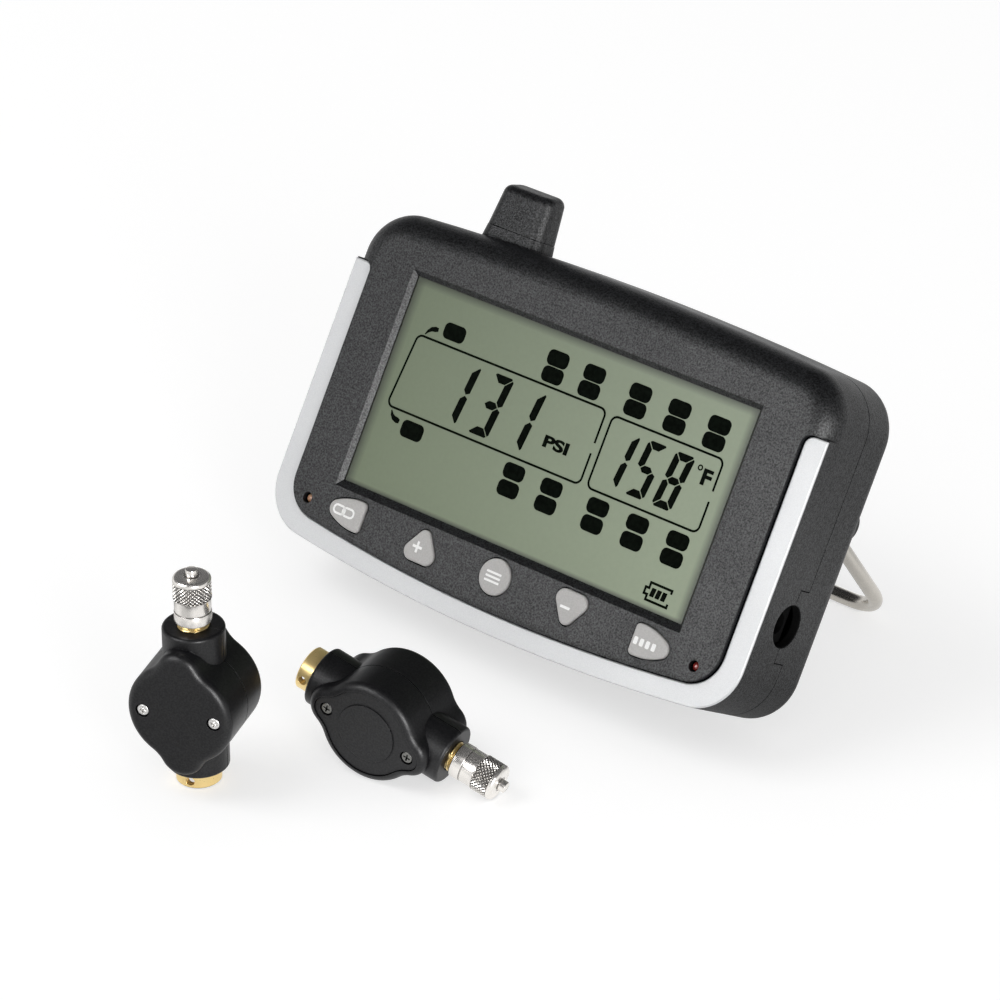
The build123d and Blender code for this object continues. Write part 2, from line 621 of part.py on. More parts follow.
def sensor(prefix, stem):
    """One flow-through sensor. stem.z points up the valve stem, stem.y out of the battery side."""
    front = Plane(origin=stem.origin, x_dir=stem.x_dir, z_dir=-stem.y_dir)
    back = Plane(origin=stem.origin, x_dir=-stem.x_dir, z_dir=stem.y_dir)
    along_stem = Axis(stem.origin, stem.z_dir)
    ends = [(-SHELL_SCREW_X, 0), (SHELL_SCREW_X, 0)]
    cover_ends = [(0, COVER_SCREW_Z), (0, -COVER_SCREW_Z)]
    for half, side, depth in (("front", front, BODY_FRONT), ("back", back, BODY_BACK)):
        outward = Axis(side.origin, side.z_dir)
        with BuildPart() as shell:
            with BuildSketch(side):
                add(lozenge(0))
            extrude(amount=depth)
            fillet(shell.faces().sort_by(outward)[-1].edges(), 2.0)
            # round necks, kept on this shell's side of the parting plane
            with BuildSketch(stem.offset(-NECK_HALF_L)):
                Circle(NECK_R)
            extrude(amount=2 * NECK_HALF_L)
            fillet(shell.edges().filter_by(GeomType.CIRCLE).sort_by(along_stem)[-1], 0.8)
            fillet(shell.edges().filter_by(GeomType.CIRCLE).sort_by(along_stem)[0], 0.8)
            split(bisect_by=side, keep=Keep.TOP)
            # cavity, with the screw posts left standing in it
            with BuildSketch(side):
                add(lozenge(2.0))
                with Locations(*ends):
                    Circle(2.3, mode=Mode.SUBTRACT)
            extrude(amount=BODY_FRONT - 2.0 if half == "front" else 3.0, mode=Mode.SUBTRACT)
            # bed of the valve stem, its shoulder and the swivel collar's hub
            for radius, low, high in (
                (SHAFT_R + 0.05, -NECK_HALF_L, NECK_HALF_L),
                (4.0, 18.0, NECK_HALF_L + 1),
                (4.6, -NECK_HALF_L - 1, -14.7),
            ):
                with BuildSketch(stem.offset(low)):
                    Circle(radius)
                extrude(amount=high - low, mode=Mode.SUBTRACT)
            if half == "front":
                # shadow line round the edge that meets the other shell
                with BuildSketch(side):
                    add(lozenge(0))
                    Rectangle(2 * NECK_R, 2 * NECK_HALF_L)
                    add(lozenge(0.6), mode=Mode.SUBTRACT)
                    Rectangle(2 * NECK_R - 1.2, 2 * NECK_HALF_L, mode=Mode.SUBTRACT)
                extrude(amount=SHADOW_GAP, mode=Mode.SUBTRACT)
                with BuildSketch(side):
                    with Locations(*ends):
                        Circle(1.1)
                extrude(amount=depth, mode=Mode.SUBTRACT)
                with BuildSketch(side.offset(depth - 1.3)):
                    with Locations(*ends):
                        Circle(1.75)
                extrude(amount=2, mode=Mode.SUBTRACT)
            else:
                with BuildSketch(side):
                    with Locations(*ends):
                        Circle(0.9)
                extrude(amount=3.4, mode=Mode.SUBTRACT)
                # seat of the battery cover, its seal's groove, the cell's well and two pilots
                with BuildSketch(side.offset(COVER_FLOOR)):
                    add(lozenge(RECESS))
                extrude(amount=4, mode=Mode.SUBTRACT)
                with BuildSketch(side.offset(4.2)):
                    Circle(CELL_R + 0.3)
                extrude(amount=4, mode=Mode.SUBTRACT)
                with BuildSketch(side.offset(COVER_FLOOR - 0.5)):
                    Circle(9.7)
                    Circle(8.8, mode=Mode.SUBTRACT)
                extrude(amount=1, mode=Mode.SUBTRACT)
                with BuildSketch(side.offset(3.4)):
                    with Locations(*cover_ends):
                        Circle(0.9)
                extrude(amount=6, mode=Mode.SUBTRACT)
        keep(shell, f"{prefix}_{half}_shell")
    cross_screws(f"{prefix}_shell_screws", front.offset(BODY_FRONT - 0.25), ends, 1.5, 1.0, 0.85, 12.0)
    cross_screws(f"{prefix}_cover_screws", back.offset(BODY_BACK - 0.5), cover_ends, 1.5, 1.0, 0.85, 4.2)

    with BuildPart() as cover:
        with BuildSketch(back.offset(COVER_FLOOR + 0.05)):
            add(lozenge(RECESS + 0.15))
        extrude(amount=1.65)
        with BuildSketch(back.offset(COVER_FLOOR + 1.7)):
            Circle(7.6)
        extrude(amount=0.25)
        with BuildSketch(back.offset(COVER_FLOOR)):
            with Locations(*cover_ends):
                Circle(1.1)
        extrude(amount=3, mode=Mode.SUBTRACT)
        with BuildSketch(back.offset(BODY_BACK - 1.55)):
            with Locations(*cover_ends):
                Circle(1.75)
        extrude(amount=3, mode=Mode.SUBTRACT)
    keep(cover, f"{prefix}_battery_cover")

    keep(turned("seal", back, (8.85, 9.65, COVER_FLOOR - 0.45, COVER_FLOOR)), f"{prefix}_cover_seal")
    keep(turned("cell", back, (0, CELL_R, 4.3, 7.5)), f"{prefix}_coin_cell")

    with BuildPart() as board:
        with BuildSketch(front.offset(4.0)):
            add(lozenge(2.5))
            with Locations(*ends):
                Circle(2.5, mode=Mode.SUBTRACT)
        extrude(amount=1.0)
        with BuildSketch(front.offset(5.0)):
            with Locations((0, 4)):
                Rectangle(6, 6)
            with Locations((0, -5)):
                Rectangle(4, 4)
        extrude(amount=1.4)
    keep(board, f"{prefix}_board")

    keep(turned(
        "stem", stem,
        (1.2, 3.4, -18.2, -17.1),
        (1.2, SHAFT_R, -17.1, 18.3),
        (1.2, THREAD_R, 18.3, 22.4),
        (2.2, THREAD_R, 22.4, 30.0),
    ), f"{prefix}_valve_stem")
    keep(turned("core", stem, (0.56, 2.15, 22.5, 28.4)), f"{prefix}_valve_core")
    keep(turned("pin", stem, (0, 0.5, 20.6, 29.6)), f"{prefix}_valve_pin")
    keep(turned("washer", stem, (1.3, 3.4, -19.15, -18.25)), f"{prefix}_stem_washer")

    with BuildPart() as collar:
        with BuildSketch(stem.offset(COLLAR_FOOT)):
            Circle(COLLAR_R)
        extrude(amount=COLLAR_TOP - COLLAR_FOOT)
        chamfer(collar.edges().filter_by(GeomType.CIRCLE), 0.3)
        with BuildSketch(stem.offset(COLLAR_TOP)):
            Circle(4.5)
        extrude(amount=4.35)
        for radius, low, high in (
            (THREAD_R, COLLAR_FOOT, -19.2),
            (3.5, -19.2, -16.9),
            (SHAFT_R + 0.06, -16.9, -14.9),
        ):
            with BuildSketch(stem.offset(low)):
                Circle(radius)
            extrude(amount=high - low, mode=Mode.SUBTRACT)
        # hole for a turning bar, right through
        with BuildSketch(front.offset(-COLLAR_R - 1)):
            with Locations((0, (COLLAR_FOOT + COLLAR_TOP) / 2)):
                Circle(1.15)
        extrude(amount=2 * COLLAR_R + 2, mode=Mode.SUBTRACT)
    keep(collar, f"{prefix}_swivel_collar")

    with BuildPart() as cap:
        with BuildSketch(stem.offset(CAP_FOOT)):
            Circle(CAP_R)
        extrude(amount=CAP_TOP - CAP_FOOT)
        fillet(cap.edges().filter_by(GeomType.CIRCLE).sort_by(along_stem)[-1], CAP_ROUND)
        with BuildSketch(stem.offset(CAP_TOP)):
            Circle(1.45)
        extrude(amount=NUB_TOP - CAP_TOP)
        fillet(cap.edges().filter_by(GeomType.CIRCLE).sort_by(along_stem)[-1], 0.3)
        with BuildSketch(stem.offset(CAP_FOOT)):
            Circle(THREAD_R + 0.06)
        extrude(amount=CAP_BORE_TOP - CAP_FOOT, mode=Mode.SUBTRACT)
    keep(cap, f"{prefix}_dust_cap")
    keep(turned("cap seal", stem, (0, 3.6, 30.1, 31.1)), f"{prefix}_cap_seal")


# Sensor A stands on its collar. Its screw face is turned a little to the right of straight ahead.
A_TURN = 20.5
A_X = -22.8
A_Y = -75.304
a_turn = math.radians(A_TURN)
SENSOR_A = Plane(
    origin=(A_X, A_Y, -COLLAR_FOOT),
    x_dir=(math.cos(a_turn), math.sin(a_turn), 0),
    z_dir=(0, 0, 1),
)

# Sensor B lies on the round edge of its body and on the rim of its cap, battery side forward.
B_TURN = 9.3
B_X = 7.2
B_Y = -41.454
b_turn = math.radians(B_TURN)
rim_z = CAP_TOP - CAP_ROUND
rim_r = CAP_R - CAP_ROUND
b_dip = math.asin((BODY_HALF_W - CAP_ROUND) / math.hypot(rim_z, rim_r)) - math.atan2(rim_r, rim_z)
SENSOR_B = Plane(
    origin=(B_X, B_Y, BODY_HALF_W),
    x_dir=(math.cos(b_turn) * math.sin(b_dip), math.sin(b_turn) * math.sin(b_dip), math.cos(b_dip)),
    z_dir=(math.cos(b_turn) * math.cos(b_dip), math.sin(b_turn) * math.cos(b_dip), -math.sin(b_dip)),
)

sensor("sensor_a", SENSOR_A)
sensor("sensor_b", SENSOR_B)
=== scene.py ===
import json
import math

import bmesh
import bpy
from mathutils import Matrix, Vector


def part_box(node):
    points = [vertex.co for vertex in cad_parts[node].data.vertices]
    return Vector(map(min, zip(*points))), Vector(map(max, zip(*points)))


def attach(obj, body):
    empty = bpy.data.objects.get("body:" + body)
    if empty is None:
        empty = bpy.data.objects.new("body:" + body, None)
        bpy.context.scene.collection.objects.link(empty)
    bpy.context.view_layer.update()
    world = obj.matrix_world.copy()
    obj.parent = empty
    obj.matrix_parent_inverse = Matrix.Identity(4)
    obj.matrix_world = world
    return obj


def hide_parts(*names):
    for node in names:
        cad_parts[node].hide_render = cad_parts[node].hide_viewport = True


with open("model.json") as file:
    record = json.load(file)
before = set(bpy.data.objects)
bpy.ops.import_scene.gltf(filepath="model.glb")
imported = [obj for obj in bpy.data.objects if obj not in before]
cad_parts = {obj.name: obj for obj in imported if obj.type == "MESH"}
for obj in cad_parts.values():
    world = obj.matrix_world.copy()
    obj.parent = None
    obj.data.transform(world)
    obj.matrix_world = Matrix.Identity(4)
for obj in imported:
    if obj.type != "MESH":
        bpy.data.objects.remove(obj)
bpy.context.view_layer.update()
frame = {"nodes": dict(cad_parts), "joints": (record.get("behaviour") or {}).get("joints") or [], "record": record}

MM = 0.001
NODES = frame["nodes"]
RECORD = frame["record"]
MOUNTS = {m["name"]: m for m in RECORD["mounts"]}
JOINTS = {j["name"]: j for j in frame["joints"]}

# ------------------------------------------------------------------ frames taken from the CAD
# The display's face: RIGHT runs across it, UP runs up the panel and OUT comes out of the front.
# FACE_O is the middle of the window, at the panel's front surface.
OUT = -Vector(JOINTS["set_press"]["axis"]).normalized()
RIGHT = Vector((1, 0, 0))
UP = OUT.cross(RIGHT)
STAND_PIVOT_RISE = 8.0      # mm, the stand's hinge, above the window's middle
STAND_PIVOT_DEPTH = 33.2    # mm, the hinge behind the front panel
HINGE = Vector(JOINTS["stand_fold"]["pos_m"])
FACE_O = HINGE - UP * STAND_PIVOT_RISE * MM + OUT * STAND_PIVOT_DEPTH * MM
FILM_DEPTH = 1.55           # mm, the display film's front, behind the panel
VIEW_HALF_W = 53.8          # mm, the foot of the window's bevel, from the window's middle
VIEW_LOW, VIEW_HIGH = -26.9, 27.5
THREAD_TO_ORIGIN = 21.2     # mm, from the collar's thread mount up the stem to the sensor's middle


def face_point(x, p, n):
    """A point x right, p up and n out of the face, in mm, as metres in the row frame."""
    return FACE_O + (RIGHT * x + UP * p + OUT * n) * MM


class Stem:
    """A sensor's own frame: z up its valve stem, y out of its battery side."""

    def __init__(self, prefix):
        mount = MOUNTS[prefix + "_valve_thread"]
        self.z = -Vector(mount["axis"]).normalized()
        self.o = Vector(mount["pos_m"]) + self.z * THREAD_TO_ORIGIN * MM
        low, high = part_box(prefix + "_coin_cell")
        side = (low + high) / 2 - self.o
        self.y = (side - self.z * side.dot(self.z)).normalized()
        self.x = self.y.cross(self.z)

    def point(self, x, y, z):
        return self.o + (self.x * x + self.y * y + self.z * z) * MM


# ------------------------------------------------------------------ mesh building
def finish_mesh(bm, name, body, material, smooth=None):
    """Turns a bmesh into a piece that rides on a body. smooth is the sharp-edge angle, in degrees."""
    bmesh.ops.remove_doubles(bm, verts=bm.verts, dist=1e-8)
    bmesh.ops.recalc_face_normals(bm, faces=bm.faces)
    mesh = bpy.data.meshes.new(name)
    bm.to_mesh(mesh)
    bm.free()
    mesh.materials.append(material)
    if smooth is not None:
        for face in mesh.polygons:
            face.use_smooth = True
        mesh.set_sharp_from_angle(angle=math.radians(smooth))
    piece = bpy.data.objects.new(name, mesh)
    bpy.context.scene.collection.objects.link(piece)
    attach(piece, body)
    return piece


class Print:
    """Thin flat shapes laid on a surface, each a closed solid between two heights."""

    def __init__(self, place, low, high):
        self.bm = bmesh.new()
        self.place = place
        self.low = low
        self.high = high

    def ring(self, loop, height):
        return [self.bm.verts.new(self.place(x, y, height)) for x, y in loop]

    def fill(self, loop):
        """A simple outline with no hole."""
        bottom = self.ring(loop, self.low)
        top = self.ring(loop, self.high)
        self.bm.faces.new(top)
        self.bm.faces.new(bottom[::-1])
        for i in range(len(loop)):
            j = (i + 1) % len(loop)
            self.bm.faces.new((bottom[i], bottom[j], top[j], top[i]))

    def band(self, left, right, closed=False):
        """The strip between two lines with the same number of points."""
        rows = [self.ring(line, h) for h in (self.low, self.high) for line in (left, right)]
        bottom_left, bottom_right, top_left, top_right = rows
        count = len(left)
        for i in range(count if closed else count - 1):
            j = (i + 1) % count
            for a, b in (
                (top_left, top_right),
                (bottom_right, bottom_left),
                (bottom_left, top_left),
                (top_right, bottom_right),
            ):
                self.bm.faces.new((a[i], b[i], b[j], a[j]))
        if not closed:
            for i in (0, count - 1):
                self.bm.faces.new((bottom_left[i], bottom_right[i], top_right[i], top_left[i]))

    def stroke(self, line, width, closed=False):
        """A line of even width, or of a width given at each point."""
        count = len(line)
        widths = width if isinstance(width, list) else [width] * count
        left, right = [], []
        for i, (x, y) in enumerate(line):
            before = line[(i - 1) % count] if closed or i else None
            after = line[(i + 1) % count] if closed or i < count - 1 else None
            ways = []
            if before:
                ways.append(Vector((x - before[0], y - before[1])).normalized())
            if after:
                ways.append(Vector((after[0] - x, after[1] - y)).normalized())
            way = sum(ways, Vector((0, 0))).normalized()
            side = Vector((-way.y, way.x))
            reach = widths[i] / 2 / max(0.3, side.dot(Vector((-ways[0].y, ways[0].x))))
            left.append((x + side.x * reach, y + side.y * reach))
            right.append((x - side.x * reach, y - side.y * reach))
        self.band(left, right, closed)

    def text(self, words, x, y, height, width, weight):
        """Built-in plain letters, for units only, in a box of this height and width."""
        curve = bpy.data.curves.new("letters", "FONT")
        curve.body = words
        curve.offset = weight
        curve.extrude = 0.5
        curve.resolution_u = 5
        holder = bpy.data.objects.new("letters", curve)
        bpy.context.scene.collection.objects.link(holder)
        bpy.context.view_layer.update()
        mesh = bpy.data.meshes.new_from_object(holder.evaluated_get(bpy.context.evaluated_depsgraph_get()))
        bpy.data.objects.remove(holder)
        spots = [v.co.copy() for v in mesh.vertices]
        low_x, high_x = min(c.x for c in spots), max(c.x for c in spots)
        low_y, high_y = min(c.y for c in spots), max(c.y for c in spots)
        made = [
            self.bm.verts.new(self.place(
                x + (c.x - low_x) / (high_x - low_x) * width,
                y + (c.y - low_y) / (high_y - low_y) * height,
                self.high if c.z > 0 else self.low,
            ))
            for c in spots
        ]
        for face in mesh.polygons:
            self.bm.faces.new([made[i] for i in face.vertices])
        bpy.data.meshes.remove(mesh)


def arc(cx, cy, r, start, end, steps):
    """Points round part of a circle, angles in degrees."""
    angles = [math.radians(start + (end - start) * i / steps) for i in range(steps + 1)]
    return [(cx + r * math.cos(a), cy + r * math.sin(a)) for a in angles]


def rounded_box(cx, cy, w, h, r, lean=0.0, steps=6):
    """Outline of a rectangle with round corners. lean shifts it to the right as it rises."""
    loop = []
    for sx, sy, start in ((1, 1, 0), (-1, 1, 90), (-1, -1, 180), (1, -1, 270)):
        loop += arc(sx * (w / 2 - r), sy * (h / 2 - r), r, start, start + 90, steps)
    return [(cx + x + y * lean, cy + y) for x, y in loop]


def turned(profile, place, around, radial=None):
    """A turned solid from a closed profile of (radius, height) that starts and ends on the axis."""
    bm = bmesh.new()
    rows = []
    for r, z in profile:
        if r < 1e-6:
            rows.append([bm.verts.new(place(0, 0, z))])
            continue
        row = []
        for i in range(around):
            angle = 2 * math.pi * i / around
            reach = radial(angle, r, z) if radial else r
            row.append(bm.verts.new(place(reach * math.cos(angle), reach * math.sin(angle), z)))
        rows.append(row)
    for a, b in zip(rows, rows[1:]):
        for i in range(around):
            j = (i + 1) % around
            if len(a) == 1:
                bm.faces.new((a[0], b[j], b[i]))
            elif len(b) == 1:
                bm.faces.new((a[i], a[j], b[0]))
            else:
                bm.faces.new((a[i], a[j], b[j], b[i]))
    return bm


# ------------------------------------------------------------------ materials
class Shader:
    """A small wrapper that adds nodes round one Principled shader."""

    def __init__(self, name):
        self.material = bpy.data.materials.new(name)
        self.material.use_nodes = True
        self.tree = self.material.node_tree
        self.bsdf = self.tree.nodes["Principled BSDF"]
        self.where = self.node("ShaderNodeTexCoord").outputs["Object"]

    def node(self, kind, links=None, **settings):
        made = self.tree.nodes.new(kind)
        for key, value in settings.items():
            setattr(made, key, value)
        for key, value in (links or {}).items():
            if isinstance(value, bpy.types.NodeSocket):
                self.tree.links.new(value, made.inputs[key])
            else:
                made.inputs[key].default_value = value
        return made

    def put(self, key, value):
        if isinstance(value, bpy.types.NodeSocket):
            self.tree.links.new(value, self.bsdf.inputs[key])
        else:
            self.bsdf.inputs[key].default_value = value

    def noise(self, scale, detail=3.0, roughness=0.55, where=None):
        """Noise with this many bumps to the metre."""
        links = {"Vector": where or self.where, "Scale": scale, "Detail": detail, "Roughness": roughness}
        return self.node("ShaderNodeTexNoise", links).outputs["Fac"]

    def spread(self, value, low, high, start=0.3, end=0.7):
        """Maps a 0 to 1 value to the range low to high."""
        links = {"Value": value, "From Min": start, "From Max": end, "To Min": low, "To Max": high}
        return self.node("ShaderNodeMapRange", links).outputs["Result"]

    def mix(self, factor, first, second, mode="MIX"):
        links = {"Factor": factor, 6: first, 7: second}
        return self.node("ShaderNodeMix", links, data_type="RGBA", blend_type=mode).outputs[2]

    def times(self, first, second):
        return self.node("ShaderNodeMath", {0: first, 1: second}, operation="MULTIPLY").outputs[0]

    def bump(self, height, distance, strength=1.0, after=None):
        links = {"Height": height, "Distance": distance, "Strength": strength}
        if after:
            links["Normal"] = after
        return self.node("ShaderNodeBump", links).outputs["Normal"]

    def soft_edges(self, radius):
        """Rounds the shading of sharp moulded or machined edges."""
        return self.node("ShaderNodeBevel", {"Radius": radius}, samples=4).outputs["Normal"]

    def open_sky(self, reach):
        """1 on open surfaces, towards 0 in grooves narrower than this reach."""
        return self.node("ShaderNodeAmbientOcclusion", {"Distance": reach}, samples=6).outputs["AO"]


def rgba(colour):
    return (*colour, 1.0)


# Noise scales are in bumps to the metre, and lengths in metres.
NOISE_LOW, NOISE_HIGH = 0.38, 0.62      # the part of a noise's range that carries its contrast
HANDLING_SCALE = 45.0                   # broad marks where plastic is handled
HANDLING_GLOSS = 0.05                   # how far they move its roughness
SEAM_SHADE_FULL, SEAM_SHADE_END = 0.35, 0.9        # openness at which painted shade takes all the gloss from a moulded seam, and at which it ends


def moulded(name, light, dark, rough, grain=1500.0, depth=0.00003, edge=0.00025, specular=0.5, grit=0.6,
            sparkle=0.1, seam_shade_reach=None):
    """Moulded plastic or rubber: spark-eroded grain, uneven gloss, faint handling marks and painted shade that
    dulls the gloss in its seams.
    """
    s = Shader(name)
    fine = s.noise(grain, 4.0, 0.6)
    broad = s.noise(HANDLING_SCALE, 3.0)
    s.put("Base Color", s.mix(s.spread(fine, 0, 1, NOISE_LOW, NOISE_HIGH), rgba(dark), rgba(light)))
    s.put("Roughness", s.spread(broad, rough - HANDLING_GLOSS, rough + HANDLING_GLOSS))
    gloss = s.spread(fine, specular * (1 - sparkle), specular * (1 + sparkle), NOISE_LOW, NOISE_HIGH)
    # painted shade: ambient occlusion takes the gloss out of seams and other narrow grooves
    if seam_shade_reach:
        gloss = s.times(gloss, s.spread(s.open_sky(seam_shade_reach), 0, 1, SEAM_SHADE_FULL, SEAM_SHADE_END))
    s.put("Specular IOR Level", gloss)
    s.put("Normal", s.bump(fine, depth, grit, s.soft_edges(edge)))
    return s.material


GROOVE = "groove"                       # mesh attribute: how deep in a cut a vertex lies, 0 to 1, which the metal's painted shade follows
GROOVE_SHADE = 0.04                     # painted shade: a groove's colour, as a part of the open metal's
CUT_SHADE_START = 0.25                        # how deep a cut has to be before painted shade darkens it
TOOLING_SCALE, TOOLING_DEPTH = 2600.0, 0.00001
CLOUD_SCALE, CLOUD_SHADE = 160.0, 0.92  # broad, faint darker clouds on metal


def plated(name, colour, rough, edge=0.0001, groove=0.0006, metallic=1.0, tooling=0.35):
    """Bare or plated metal with faint tooling marks, an uneven gloss and painted shade in its grooves."""
    s = Shader(name)
    marks = s.noise(TOOLING_SCALE, 3.0, 0.6)
    cloud = s.noise(CLOUD_SCALE, 3.0)
    darker = tuple(c * CLOUD_SHADE for c in colour)
    groove_shade_colour = tuple(c * GROOVE_SHADE for c in colour)
    face = s.mix(s.spread(cloud, 0, 1), rgba(darker), rgba(colour))
    # painted shade: the colour darkens with the depth of a knurl's cut
    cut = s.node("ShaderNodeAttribute", attribute_name=GROOVE).outputs["Fac"]
    face = s.mix(s.spread(cut, 0, 1, CUT_SHADE_START, 1.0), face, rgba(groove_shade_colour))
    # painted shade: ambient occlusion darkens the colour in narrow grooves
    s.put("Base Color", s.mix(s.spread(s.open_sky(groove), 0, 1, 0.4, 0.85), rgba(groove_shade_colour), face))
    s.put("Metallic", metallic)
    s.put("Roughness", s.spread(marks, rough - 0.03, rough + 0.05))
    s.put("Normal", s.bump(marks, TOOLING_DEPTH, tooling, s.soft_edges(edge)))
    return s.material


def painted_silver():
    """Satin silver paint with a very fine flake."""
    s = Shader("silver_paint")
    flake = s.noise(4200.0, 2.0)
    cloud = s.noise(60.0, 2.0)
    base = s.mix(s.spread(flake, 0, 1, 0.35, 0.65), rgba((0.59, 0.597, 0.607)), rgba((0.65, 0.657, 0.664)))
    s.put("Base Color", base)
    s.put("Metallic", 0.12)
    s.put("Roughness", s.spread(cloud, 0.42, 0.48))
    s.put("Coat Weight", 0.1)
    s.put("Coat Roughness", 0.25)
    s.put("Normal", s.bump(flake, 0.000004, 0.3, s.soft_edges(0.0003)))
    return s.material


FILM_SHADE_SPAN = (-0.055, 0.045)       # m across the film, over which painted shade lightens it from its left to its right
LEFT_SHADE, RIGHT_SHADE, TOP_SHADE, BOTTOM_SHADE = 3.0, 2.6, 2.2, 1.2   # mm, the frame's shade on the film


def display_film():
    """The display's green-grey, with painted shade that darkens it towards its left and its top, and a painted
    shadow of the frame along its edges.
    """
    s = Shader("display_film")
    shift = s.node("ShaderNodeVectorMath", {0: s.where, 1: FACE_O}, operation="SUBTRACT").outputs[0]
    across = s.node("ShaderNodeVectorMath", {0: shift, 1: RIGHT}, operation="DOT_PRODUCT").outputs["Value"]
    upward = s.node("ShaderNodeVectorMath", {0: shift, 1: UP}, operation="DOT_PRODUCT").outputs["Value"]
    # painted shade: darker towards the left
    shade = s.spread(across, 0, 1, *FILM_SHADE_SPAN)
    painted_side_shade = s.mix(shade, rgba((0.150, 0.184, 0.118)), rgba((0.218, 0.262, 0.178)))
    # painted shade: darker towards the top, lighter towards the bottom
    painted_height_shade = s.spread(upward, 0.0, 1.0, 0.03, -0.03)
    colour = s.mix(painted_height_shade, rgba((0.93, 0.93, 0.93)), rgba((1.04, 1.04, 1.02)))
    base = s.mix(1.0, painted_side_shade, colour, "MULTIPLY")
    fibre = s.noise(900.0, 3.0)
    speck = s.mix(s.spread(fibre, 0, 1, 0.35, 0.65), rgba((0.97, 0.97, 0.97)), rgba((1.0, 1.0, 1.0)))
    lit = s.mix(1.0, base, speck, "MULTIPLY")
    # painted shadow of the frame along the film's edges
    shaded = s.spread(across, 0, 1, -VIEW_HALF_W * MM, (LEFT_SHADE - VIEW_HALF_W) * MM)
    frame_edges = (
        (across, VIEW_HALF_W, RIGHT_SHADE),
        (upward, VIEW_HIGH, TOP_SHADE),
        (upward, VIEW_LOW, -BOTTOM_SHADE),
    )
    for place, edge, reach in frame_edges:
        shaded = s.times(shaded, s.spread(place, 0, 1, edge * MM, (edge - reach) * MM))
    s.put("Base Color", s.mix(shaded, rgba((0.05, 0.058, 0.042)), lit))
    s.put("Roughness", 0.38)
    s.put("Specular IOR Level", 0.35)
    s.put("Normal", s.bump(fibre, 0.000006, 0.3))
    return s.material


def tinted_lens(name, colour, glow):
    """A small tinted clear lens over a light chip."""
    s = Shader(name)
    swirl = s.noise(700.0, 2.0)
    s.put("Base Color", s.mix(s.spread(swirl, 0, 1), rgba(colour), rgba(glow)))
    s.put("Roughness", s.spread(swirl, 0.08, 0.2))
    s.put("Coat Weight", 0.6)
    s.put("Subsurface Weight", 0.3)
    s.put("Subsurface Radius", (0.002, 0.001, 0.001))
    s.put("Normal", s.bump(swirl, 0.00002, 0.4))
    return s.material


def board_green():
    """Solder mask with a faint pattern of tracks."""
    s = Shader("green_board")
    grid = s.node("ShaderNodeTexBrick", {
        "Vector": s.where, "Scale": 220.0, "Mortar Size": 0.03,
        "Color1": rgba((0.02, 0.16, 0.06)), "Color2": rgba((0.025, 0.2, 0.08)),
        "Mortar": rgba((0.05, 0.3, 0.12)),
    }).outputs["Color"]
    s.put("Base Color", grid)
    s.put("Roughness", s.spread(s.noise(500.0), 0.25, 0.4))
    s.put("Normal", s.bump(s.noise(1500.0), 0.00002, 0.4))
    return s.material


BLACK_SHELL = moulded("black_shell", (0.015, 0.016, 0.018), (0.001, 0.001, 0.001), 0.42, 2300.0, 0.00011,
                      specular=0.50, grit=1.0, sparkle=0.35, seam_shade_reach=0.0012)
SENSOR_BLACK = moulded("sensor_black", (0.009, 0.009, 0.010), (0.004, 0.004, 0.005), 0.40, 2200.0, 0.00002,
                       specular=0.35, seam_shade_reach=0.0012)
# painted shade: near-black with little gloss, for parts that lie in the plug hole's shadow
SHADOW_BLACK = moulded("plug_shadow_black", (0.002, 0.002, 0.002), (0.001, 0.001, 0.001), 0.8, 1500.0,
                       specular=0.1)
KEY_RUBBER = moulded("key_rubber", (0.46, 0.45, 0.44), (0.41, 0.40, 0.39), 0.62, 2600.0, 0.00001, 0.0003)
BLACK_RUBBER = moulded("black_rubber", (0.03, 0.03, 0.03), (0.02, 0.02, 0.02), 0.7, 1800.0)
BLACK_PART = moulded("component_black", (0.025, 0.025, 0.026), (0.015, 0.015, 0.016), 0.45, 1800.0)
WHITE_PLASTIC = moulded("white_plastic", (0.82, 0.83, 0.80), (0.76, 0.77, 0.75), 0.35, 1200.0)
BATTERY_WRAP = moulded("battery_wrap", (0.06, 0.16, 0.40), (0.05, 0.13, 0.34), 0.25, 600.0)
SILVER = painted_silver()
FILM = display_film()
SCREW_STEEL = plated("screw_steel", (0.90, 0.89, 0.87), 0.30, groove=0.0002)
DARK_STEEL = plated("dark_steel", (0.20, 0.20, 0.19), 0.34)
NICKEL_WIRE = plated("nickel_wire", (0.62, 0.59, 0.54), 0.24)
CAP_NICKEL = plated("cap_nickel", (0.86, 0.83, 0.79), 0.22, metallic=0.85, tooling=0.15)
BRASS = plated("yellow_brass", (1.0, 0.76, 0.34), 0.30, metallic=0.72, tooling=0.1)
CELL_STEEL = plated("cell_steel", (0.70, 0.70, 0.69), 0.25)
BOARD = board_green()
AMBER = tinted_lens("amber_lens", (0.42, 0.20, 0.10), (0.75, 0.45, 0.28))
RED = tinted_lens("red_lens", (0.20, 0.02, 0.02), (0.40, 0.05, 0.04))
GLASS = tinted_lens("display_glass", (0.35, 0.40, 0.34), (0.38, 0.43, 0.36))
SEGMENT = moulded("segment_black", (0.005, 0.007, 0.005), (0.003, 0.004, 0.003), 0.6, 900.0, 0.000004,
                  0.00002, 0.0)
KEY_INK = moulded("key_ink", (0.90, 0.90, 0.89), (0.84, 0.84, 0.83), 0.55, 2500.0, 0.000004, 0.00002)

